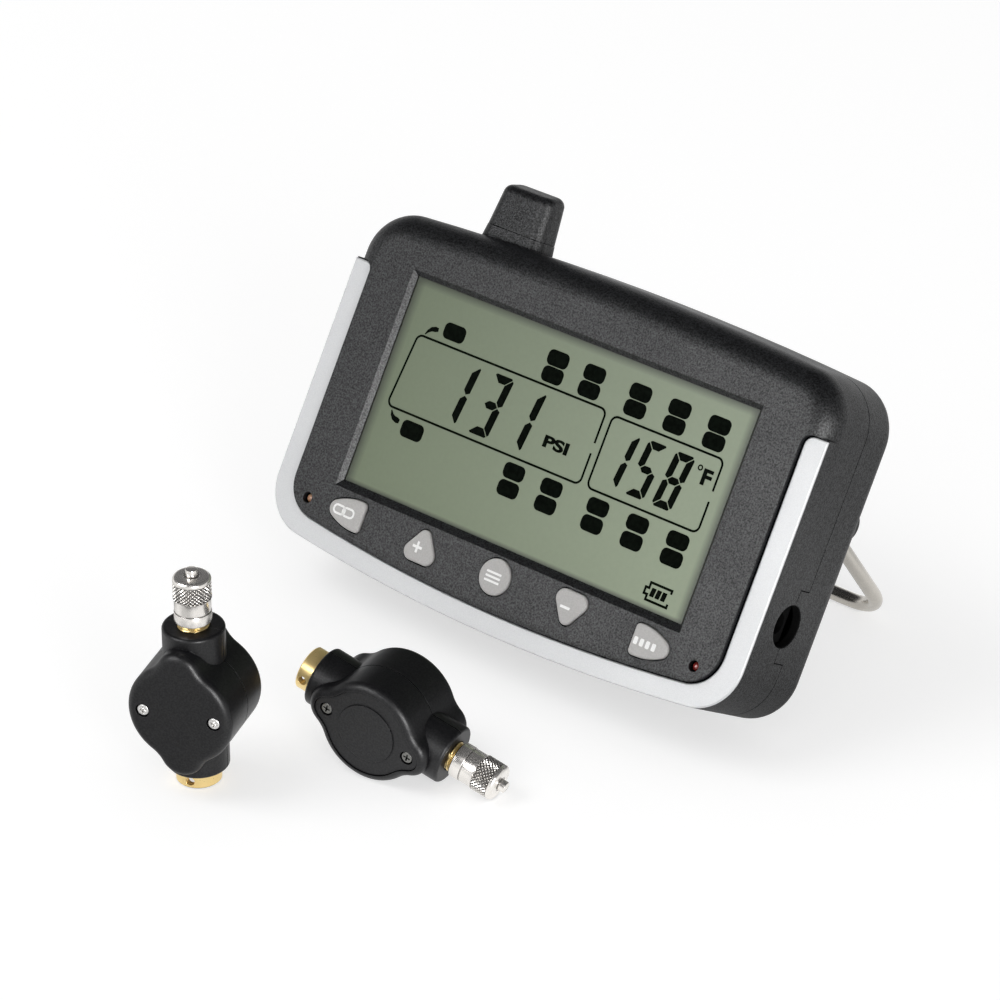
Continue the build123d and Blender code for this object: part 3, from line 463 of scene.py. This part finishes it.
PAINT = {
    "black_shell": BLACK_SHELL,
    "silver_paint": SILVER,
    "steel_screws": DARK_STEEL,
    "display_film": FILM,
    "display_glass": GLASS,
    "white_plastic": WHITE_PLASTIC,
    "grey_rubber": KEY_RUBBER,
    "black_rubber": BLACK_RUBBER,
    "green_board": BOARD,
    "shield_can": CELL_STEEL,
    "component_black": BLACK_PART,
    "battery_wrap": BATTERY_WRAP,
    "amber_lens": AMBER,
    "red_lens": RED,
    "spring_copper": BRASS,
    "nickel_wire": NICKEL_WIRE,
    "sensor_black": SENSOR_BLACK,
    "sensor_screws": SCREW_STEEL,
    "sensor_seals": BLACK_RUBBER,
    "cell_steel": CELL_STEEL,
    "yellow_brass": BRASS,
    "cap_nickel": CAP_NICKEL,
}
for part in RECORD["subparts"]:
    shape = NODES[part["node"]]
    shape.data.materials.clear()
    shape.data.materials.append(PAINT[part["material_slot"]])
for node in ("sensor_a_cover_screws", "sensor_b_cover_screws"):
    NODES[node].data.materials[0] = DARK_STEEL
# painted shade: the jack is made near black, as its hole is in shadow
NODES["power_jack"].data.materials[0] = SHADOW_BLACK

# ------------------------------------------------------------------ what the display shows
# Places on the face are in mm, to the right of and up from the window's middle.
SEGMENT_BOTTOM = -FILM_DEPTH - 0.02
SEGMENT_TOP = -FILM_DEPTH + 0.04
SLANT = math.tan(math.radians(7.0))
SEGMENT_GAP = 0.17          # mm, how far a segment stops short of its figure's corner
SEGMENT_TIP = 0.75          # mm, how far a segment's corner is cut back
OUTLINE_W = 0.56            # mm, the line round a vehicle
OUTLINE_R = 1.7             # mm, its corners


def segments(panel, cx, cy, w, h, t, lit):
    """One slanted seven-segment figure. lit names its segments, a at the top round to f, and g."""
    hw, hh, gap = w / 2, h / 2, SEGMENT_GAP
    inset = t / 2
    tip = SEGMENT_TIP
    top = [
        (-hw + gap + tip, hh),
        (hw - gap - tip, hh),
        (hw - gap - tip / 2, hh - tip / 2),
        (hw - t - gap, hh - t),
        (-hw + t + gap, hh - t),
        (-hw + gap + tip / 2, hh - tip / 2),
    ]
    side = [
        (hw, hh - gap - tip),
        (hw - tip / 2, hh - gap - tip / 2),
        (hw - t, hh - t - gap),
        (hw - t, inset + gap),
        (hw - inset, gap),
        (hw, inset * 0.55 + gap),
    ]
    middle = [
        (-hw + inset + gap * 1.2, 0),
        (-hw + t + gap, inset * 0.95),
        (hw - t - gap, inset * 0.95),
        (hw - inset - gap * 1.2, 0),
        (hw - t - gap, -inset * 0.95),
        (-hw + t + gap, -inset * 0.95),
    ]
    shapes = {
        "a": top,
        "d": [(x, -y) for x, y in top],
        "b": side,
        "c": [(x, -y) for x, y in side],
        "f": [(-x, y) for x, y in side],
        "e": [(-x, -y) for x, y in side],
        "g": middle,
    }
    for key in lit:
        panel.fill([(cx + x + y * SLANT, cy + y) for x, y in shapes[key]])


FIGURES = {"1": "bc", "3": "abcdg", "5": "acdfg", "8": "abcdefg"}


def reading(panel, figures, first, pitch, rise, w, h, t):
    """A row of figures, from the middle of the first, each w wide, h high and t thick."""
    for place, figure in enumerate(figures):
        segments(panel, first + pitch * place, rise, w, h, t, FIGURES[figure])


panel = Print(face_point, SEGMENT_BOTTOM, SEGMENT_TOP)
reading(panel, "131", first=-30.3, pitch=10.5, rise=4.2, w=6.5, h=16.1, t=2.12)
reading(panel, "158", first=20.95, pitch=8.35, rise=4.0, w=5.9, h=14.3, t=1.9)

TYRE_W, TYRE_H, TYRE_R = 6.5, 4.0, 1.45
TWIN_RISE = 2.1             # mm, from the middle of a twin wheel to each of its tyres
for x, p in ((-5.7, 18.85), (5.8, 18.85), (20.2, 18.7), (32.3, 18.6), (44.4, 18.45)):
    for rise in (TWIN_RISE, -TWIN_RISE):
        panel.fill(rounded_box(x, p + rise, TYRE_W, TYRE_H, TYRE_R))
for x in (-6.5, 5.4, 20.0, 32.3, 44.6):
    for p in (-8.75, -13.2):
        panel.fill(rounded_box(x, p, TYRE_W, TYRE_H, TYRE_R))
panel.fill(rounded_box(-37.6, 17.5, 6.8, 4.2, TYRE_R))
panel.fill(rounded_box(-39.6, -9.1, 7.0, 4.4, TYRE_R))


def vehicle(left_top, left_bottom, right, top, bottom, gap_top, gap_bottom, width):
    """A vehicle's outline, open for a short way in its right-hand side."""
    r = OUTLINE_R
    line = [(right, gap_top)]
    line += arc(right - r, top - r, r, 0, 90, 6)
    line += arc(left_top + r, top - r, r, 90, 180, 6)
    line += arc(left_bottom + r, bottom + r, r, 180, 270, 6)
    line += arc(right - r, bottom + r, r, 270, 360, 6)
    line.append((right, gap_bottom))
    panel.stroke(line, width)


vehicle(-48.0, -49.5, 12.7, 13.9, -5.4, 5.3, 2.7, OUTLINE_W)
vehicle(15.0, 14.9, 49.0, 13.3, -5.3, 5.3, 2.7, OUTLINE_W)
panel.stroke([(-46.0, 14.5), (-45.4, 15.5), (-44.5, 16.3), (-43.4, 16.6), (-42.5, 16.7)],
             [0.25, 0.7, 1.1, 1.35, 0.9])
panel.stroke([(-47.6, -6.1), (-47.1, -7.1), (-46.3, -7.8), (-45.1, -8.1), (-44.3, -8.2)],
             [0.25, 0.8, 1.2, 1.5, 1.0])
panel.text("PSI", -1.5, -0.25, 3.1, 7.7, 0.042)
panel.text("F", 44.7, 5.75, 4.05, 2.85, 0.04)
panel.band(arc(43.45, 9.5, 0.75, 0, 345, 23), arc(43.45, 9.5, 0.38, 0, 345, 23), closed=True)

# battery sign
panel.stroke([(48.1, -21.3), (48.1, -20.4), (41.7, -20.4), (41.7, -21.8), (40.7, -21.8), (40.7, -23.4),
              (41.7, -23.4), (41.7, -24.7), (48.1, -24.7), (48.1, -23.8)], 0.62)
for x in (43.1, 44.75, 46.4):
    panel.fill(rounded_box(x, -22.55, 1.3, 2.2, 0.12, 0.1, 2))
finish_mesh(panel.bm, "display_segments", "display", SEGMENT)


# ------------------------------------------------------------------ signs printed on the keys
PROBE_START = 20            # mm in front of the panel, where a ray towards a key starts
INK_SUNK, INK_PROUD = 0.02, 0.03            # mm, the ink's two faces below and above the key's surface


def key_top(node, x, p):
    """How far out of the panel a key's surface stands at one place, in mm."""
    start = face_point(x, p, PROBE_START)
    _, spot, _, _ = NODES[node].ray_cast(start, -OUT)
    return (spot - FACE_O).dot(OUT) / MM


def printed(name, node, body, draw, x, p):
    """A sign on a key: draw adds shapes centred on the key's middle."""
    top = key_top(node, x, p)
    sign = Print(lambda u, v, n: face_point(x + u, p + v, n), top - INK_SUNK, top + INK_PROUD)
    draw(sign)
    finish_mesh(sign.bm, name, body, KEY_INK)


def draw_link(sign):
    for cx in (-1.45, 1.45):
        sign.stroke(rounded_box(cx, 0, 3.5, 2.1, 1.0)[:-1], 0.55, closed=True)


def draw_plus(sign):
    h, t = 1.45, 0.34
    sign.fill([
        (-h, -t), (-t, -t), (-t, -h), (t, -h), (t, -t), (h, -t),
        (h, t), (t, t), (t, h), (-t, h), (-t, t), (-h, t),
    ])


def draw_minus(sign):
    sign.fill(rounded_box(0, 0, 2.9, 0.68, 0.12))


def draw_set(sign):
    for v in (-1.1, 0, 1.1):
        sign.fill(rounded_box(0, v, 4.6, 0.56, 0.2))


def draw_code(sign):
    for u in (-2.7, -0.9, 0.9, 2.7):
        sign.fill(rounded_box(u, 0, 1.15, 1.9, 0.35))


printed("link_sign", "link_key", "link_button", draw_link, -49.2, -34.1)
printed("plus_sign", "plus_key", "plus_button", draw_plus, -24.4, -34.9)
printed("set_sign", "set_key", "set_button", draw_set, -0.2, -34.3)
printed("minus_sign", "minus_key", "minus_button", draw_minus, 22.5, -34.0)
printed("code_sign", "code_key", "code_button", draw_code, 47.3, -34.4)

# ------------------------------------------------------------------ knurled caps and threaded stems
CAP_BORE_R = 3.91
CAP_FOOT, CAP_BORE_TOP, CAP_TOP, NUB_TOP = 20.6, 31.2, 32.6, 34.4
KNURL_LOW, KNURL_HIGH = 26.9, 31.3
KNURL_COUNT = 28            # ridges round the cap
KNURL_DEPTH = 0.42
KNURL_RISE = 0.98           # mm up the cap in which a groove moves one ridge round it
KNURL_FROM_R = 4.5          # only the cap's outer surface is cut
KNURL_CREST = 1.25          # over 1 leaves the diamonds flat on top
CAP_R = 4.6
CAP_ROUND = 1.0
THREAD_R = 3.85
THREAD_PITCH = 0.79375
THREAD_DEPTH = 0.42
THREAD_START, THREAD_LENGTH = 18.5, 11.4    # mm up the stem, where its rings are close together
THREAD_LOW, THREAD_HIGH = 18.6, 29.9        # the cut part of the stem
RING_STEP = 0.1             # mm between the rings of a knurled or threaded surface


def ridge(value):
    """A triangle wave between 0 and 1."""
    part = value % 1.0
    return 1 - abs(2 * part - 1)


def knurl(angle, r, z):
    """Diamond knurling on the cap's band."""
    if not (KNURL_LOW < z < KNURL_HIGH and r > KNURL_FROM_R):
        return r
    turn = angle / (2 * math.pi) * KNURL_COUNT
    rise = (z - KNURL_LOW) / KNURL_RISE
    height = min(ridge(turn + rise), ridge(turn - rise))
    return r - KNURL_DEPTH * (1 - min(1.0, height * KNURL_CREST))


def knurled_cap(prefix, stem):
    """A nickel-plated dust cap: plain sleeve, parting groove, knurled band, domed top and nub."""
    profile = [(0, CAP_BORE_TOP), (CAP_BORE_R, CAP_BORE_TOP), (CAP_BORE_R, CAP_FOOT + 0.25), (4.05, CAP_FOOT)]
    profile += [(4.3, CAP_FOOT), (4.47, CAP_FOOT + 0.2), (4.5, CAP_FOOT + 2.55), (4.42, CAP_FOOT + 2.7)]
    profile += [(4.22, CAP_FOOT + 2.78), (4.22, CAP_FOOT + 2.95), (4.38, CAP_FOOT + 3.05)]
    profile += [(4.4, KNURL_LOW - 0.25), (4.56, KNURL_LOW - 0.02)]
    steps = int((KNURL_HIGH - KNURL_LOW) / RING_STEP)
    profile += [(CAP_R, KNURL_LOW + (KNURL_HIGH - KNURL_LOW) * i / steps) for i in range(steps + 1)]
    profile += [(CAP_R - CAP_ROUND + u, CAP_TOP - CAP_ROUND + w) for u, w in arc(0, 0, CAP_ROUND, 0, 90, 8)]
    profile += [(1.9, CAP_TOP), (1.8, CAP_TOP - 0.12), (1.45, CAP_TOP - 0.12), (1.45, NUB_TOP - 0.3)]
    profile += [(1.37, NUB_TOP - 0.1), (1.15, NUB_TOP), (0, NUB_TOP)]
    bm = turned(profile, stem.point, KNURL_COUNT * 6, knurl)
    cap = finish_mesh(bm, prefix + "_knurled_cap", prefix + "_cap", CAP_NICKEL, 35)
    # the depth of each point in a knurl cut, which the cap's painted groove shade follows
    cuts = cap.data.attributes.new(GROOVE, "FLOAT", "POINT")
    for vertex, cut in zip(cap.data.vertices, cuts.data):
        away = vertex.co - stem.o
        height = away.dot(stem.z) / MM
        reach = (away - stem.z * away.dot(stem.z)).length / MM
        if KNURL_LOW < height < KNURL_HIGH:
            cut.value = max(0.0, min(1.0, (CAP_R - reach) / KNURL_DEPTH))
    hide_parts(prefix + "_dust_cap")


def thread(angle, r, z):
    """A helical valve thread cut into the stem's mouth end."""
    if r < THREAD_R - 0.01 or z < THREAD_LOW or z > THREAD_HIGH:
        return r
    return r - THREAD_DEPTH * (1 - ridge(z / THREAD_PITCH - angle / (2 * math.pi)))


def threaded_stem(prefix, stem):
    """The brass tube through the sensor, with its thread cut."""
    profile = [(1.2, -18.2), (3.4, -18.2), (3.4, -17.1), (2.6, -17.1), (2.6, 18.3), (THREAD_R, 18.3)]
    steps = int(THREAD_LENGTH / RING_STEP)
    profile += [(THREAD_R, THREAD_START + THREAD_LENGTH * i / steps) for i in range(steps + 1)]
    profile += [(3.55, 30.0), (2.2, 30.0), (2.2, 22.4), (1.2, 22.4), (1.2, -18.2)]
    bm = turned(profile, stem.point, 96, thread)
    piece = finish_mesh(bm, prefix + "_threaded_stem", prefix, BRASS, 40)
    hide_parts(prefix + "_valve_stem")


for prefix in ("sensor_a", "sensor_b"):
    stem = Stem(prefix)
    knurled_cap(prefix, stem)
    threaded_stem(prefix, stem)

# ------------------------------------------------------------------ painted shade: a black sleeve that darkens the plug hole's wall
PLUG_Y, PLUG_DEPTH = -18.6, 13.4
SLEEVE_IN, SLEEVE_OUT = 5.3, 5.47
SLEEVE_START, SLEEVE_END = 71.9, 73.9
shade_sleeve = [(SLEEVE_IN, SLEEVE_START), (SLEEVE_OUT, SLEEVE_START), (SLEEVE_OUT, SLEEVE_END), (SLEEVE_IN, SLEEVE_END)]
bm = turned(shade_sleeve + shade_sleeve[:1], lambda u, v, w: face_point(w, PLUG_Y + u, v - PLUG_DEPTH), 64)
finish_mesh(bm, "plug_hole_shade_sleeve", "display", SHADOW_BLACK, 40)

# ------------------------------------------------------------------ moulded edges on the CAD pieces
CAD_SHARP_ANGLE = 28        # degrees between two faces, from which their edge stays sharp
for node in NODES.values():
    node.data.shade_smooth()
    node.data.set_sharp_from_angle(angle=math.radians(CAD_SHARP_ANGLE))

# ------------------------------------------------------------------ studio
VIEW_AZIMUTH = math.radians(40.3)
VIEW_ELEVATION = math.radians(30.0)
VIEW_DISTANCE = 1.1114
VIEW_LENS = 164.2
AIM = face_point(-3.8, -15.9, 4.0)

scene = bpy.context.scene
scene.view_settings.view_transform = "Standard"

FLOOR_GLOW = 0.62
DARK_PATCH, BRIGHT_PATCH = -0.42, 0.05      # uneven reflections of the room, seen only in glossy surfaces
SKY_LIGHT = 0.48

floor_bm = bmesh.new()
bmesh.ops.create_grid(floor_bm, x_segments=8, y_segments=8, size=4.0)
floor_mesh = bpy.data.meshes.new("studio_floor")
floor_bm.to_mesh(floor_mesh)
floor_bm.free()
floor = bpy.data.objects.new("studio_floor", floor_mesh)
scene.collection.objects.link(floor)
paper = Shader("studio_paper")
paper.put("Base Color", rgba((0.50, 0.50, 0.50)))
paper.put("Roughness", 0.8)
paper.put("Specular IOR Level", 0.1)
paper.put("Normal", paper.bump(paper.noise(400.0), 0.00002, 0.2))
ray = paper.node("ShaderNodeLightPath").outputs["Is Glossy Ray"]
patches = paper.spread(paper.noise(9.0, 1.0, 0.4), DARK_PATCH, BRIGHT_PATCH, 0.42, 0.58)
glow = paper.node("ShaderNodeMath", {0: ray, 1: patches}, operation="MULTIPLY").outputs[0]
lift = paper.node("ShaderNodeMath", {0: glow, 1: FLOOR_GLOW}, operation="ADD").outputs[0]
paper.put("Emission Color", rgba((1.0, 1.0, 1.0)))
paper.put("Emission Strength", lift)
floor_mesh.materials.append(paper.material)

world = bpy.data.worlds.new("studio")
scene.world = world
world.use_nodes = True
tree = world.node_tree
sky = tree.nodes["Background"]
direction = tree.nodes.new("ShaderNodeTexCoord").outputs["Generated"]
split = tree.nodes.new("ShaderNodeSeparateXYZ")
tree.links.new(direction, split.inputs[0])
ceiling = tree.nodes.new("ShaderNodeValToRGB")
stops = ceiling.color_ramp.elements
stops[0].position, stops[0].color = 0.10, (1.0, 1.0, 1.0, 1.0)
stops[1].position, stops[1].color = 1.0, (0.02, 0.02, 0.022, 1.0)
middle = stops.new(0.38)
middle.color = (0.06, 0.06, 0.065, 1.0)
tree.links.new(split.outputs["Z"], ceiling.inputs[0])
path = tree.nodes.new("ShaderNodeLightPath")
pick = tree.nodes.new("ShaderNodeMix")
pick.data_type = "RGBA"
tree.links.new(path.outputs["Is Glossy Ray"], pick.inputs[0])
pick.inputs[6].default_value = (SKY_LIGHT, SKY_LIGHT, SKY_LIGHT, 1.0)
tree.links.new(ceiling.outputs["Color"], pick.inputs[7])
backdrop = tree.nodes.new("ShaderNodeMix")
backdrop.data_type = "RGBA"
tree.links.new(path.outputs["Is Camera Ray"], backdrop.inputs[0])
tree.links.new(pick.outputs[2], backdrop.inputs[6])
backdrop.inputs[7].default_value = (1.0, 1.0, 1.0, 1.0)
tree.links.new(backdrop.outputs[2], sky.inputs["Color"])
sky.inputs["Strength"].default_value = 1.0


def soft_light(name, place, aim, width, height, power, diffuse=True, glossy=True):
    """A large soft box that looks at the set, seen by matt shading, by reflections or by both."""
    data = bpy.data.lights.new(name, "AREA")
    data.shape = "RECTANGLE"
    data.size, data.size_y = width, height
    data.energy = power
    light = bpy.data.objects.new(name, data)
    light.location = place
    light.rotation_euler = (Vector(aim) - Vector(place)).to_track_quat("-Z", "Y").to_euler()
    light.visible_camera = False
    light.visible_diffuse = diffuse
    light.visible_glossy = glossy
    scene.collection.objects.link(light)


soft_light("key_light", (-0.9, -0.9, 1.8), (0, 0, 0.03), 1.2, 1.2, 15.0, glossy=False)
soft_light("side_light", (1.35, -0.75, 0.65), (0, 0, 0.05), 0.5, 0.8, 6.5, glossy=False)
soft_light("rim_light", (1.20, -0.76, 0.36), (0, 0, 0.05), 0.45, 0.45, 22.0, diffuse=False)
soft_light("panel_light", (-0.13, -0.42, 0.30), (0.05, 0, 0.05), 0.30, 0.20, 1.5, diffuse=False)
soft_light("metal_light", (0.70, -0.9, 1.0), (0, 0, 0.03), 0.6, 0.5, 0.6, diffuse=False)

camera_data = bpy.data.cameras.new("camera")
camera_data.lens = VIEW_LENS
camera_data.sensor_width = 36.0
camera = bpy.data.objects.new("camera", camera_data)
back = Vector((
    math.sin(VIEW_AZIMUTH) * math.cos(VIEW_ELEVATION),
    -math.cos(VIEW_AZIMUTH) * math.cos(VIEW_ELEVATION),
    math.sin(VIEW_ELEVATION),
))
camera.location = AIM + back * VIEW_DISTANCE
camera.rotation_euler = (-back).to_track_quat("-Z", "Y").to_euler()
scene.collection.objects.link(camera)
scene.camera = camera
